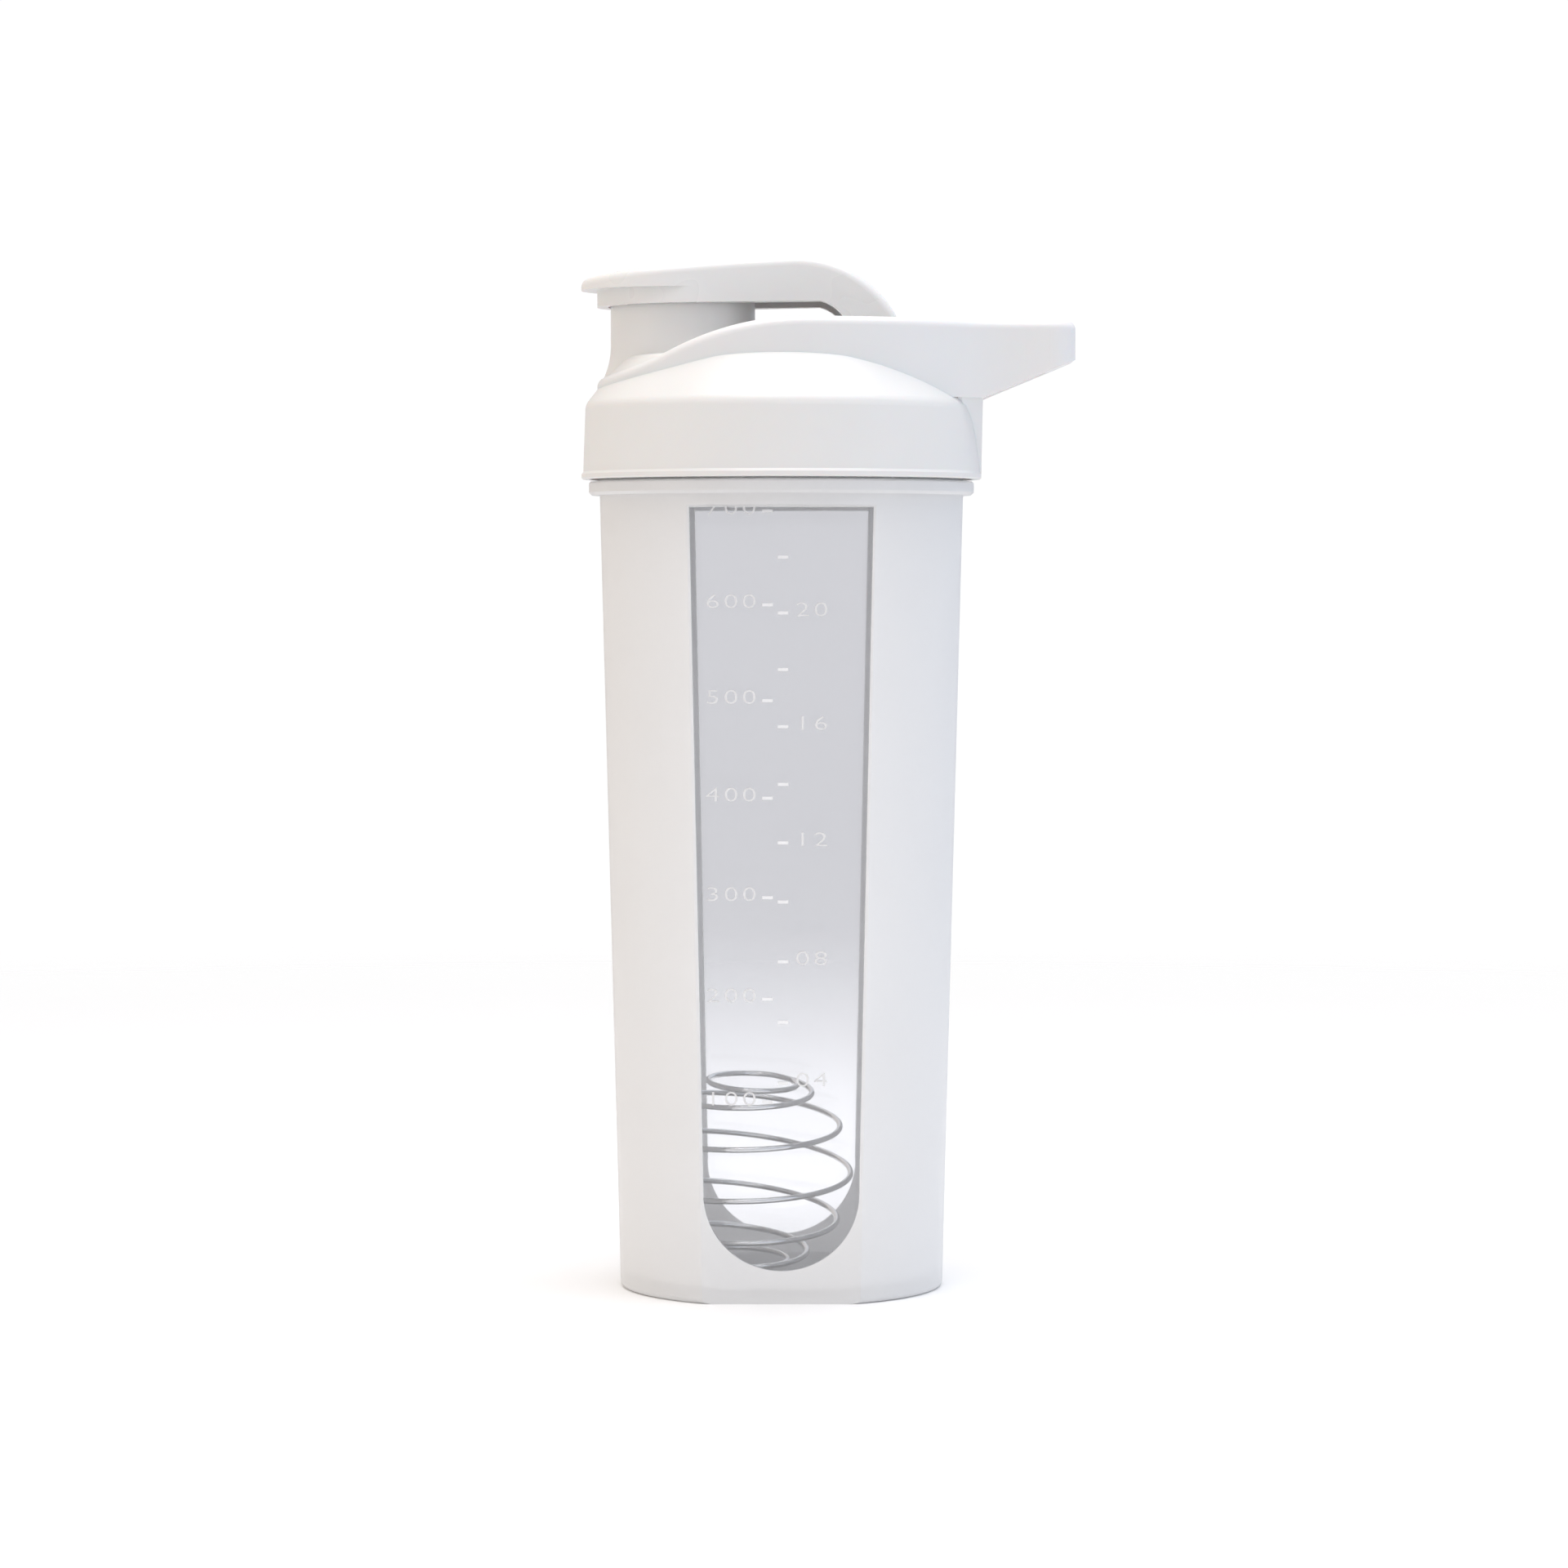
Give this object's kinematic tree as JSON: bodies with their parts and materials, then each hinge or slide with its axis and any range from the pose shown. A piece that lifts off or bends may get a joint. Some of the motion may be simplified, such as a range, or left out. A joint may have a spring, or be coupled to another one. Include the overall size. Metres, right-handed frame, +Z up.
{
  "type": "protein shaker bottle",
  "caption": "Tall translucent shaker bottle with a white screw lid, flip cap over a round spout, carry loop and a loose wire whisk ball.",
  "frame": {"origin": "on the bottle's axis, at the plane it stands on", "axes": "+Z up along the bottle's axis, +X towards the carry loop, -X towards the spout, -Y towards the face with the graduations"},
  "size_m": [0.1138, 0.0926, 0.2379],
  "materials": {
    "frosted_polypropylene": "translucent, frosted with a clear window front and back",
    "white_polypropylene": "satin white",
    "silicone": "soft translucent white",
    "stainless_steel": "bright drawn wire"
  },
  "bodies": {
    "bottle": {"bottle_body": "frosted_polypropylene"},
    "gasket": {"lid_gasket": "silicone"},
    "lid": {"lid_shell": "white_polypropylene", "carry_loop": "white_polypropylene", "hinge_pin": "stainless_steel"},
    "cap": {"flip_cap": "white_polypropylene", "spout_seal": "silicone"},
    "whisk": {"whisk_ball": "stainless_steel"}
  },
  "joints": [
    {"name": "lid_lift", "type": "slide", "parent": "bottle", "child": "gasket", "axis": [0, 0, 1], "range_m": [0, 0.0063]},
    {"name": "lid_turn", "type": "hinge", "parent": "gasket", "child": "lid", "pos_m": [0, 0, 0.195], "axis": [0, 0, 1], "range_deg": [0, 450]},
    {"name": "cap_hinge", "type": "hinge", "parent": "lid", "child": "cap", "pos_m": [0.021, 0, 0.2222], "axis": [0, 1, 0], "range_deg": [0, 115]},
    {"name": "whisk_travel", "type": "slide", "parent": "bottle", "child": "whisk", "axis": [0, 0, 1], "range_m": [0, 0.15]}
  ],
  "couplings": [
    {"joint": "lid_lift", "follows": "lid_turn", "m_per_rad": 0.00079577}
  ]
}
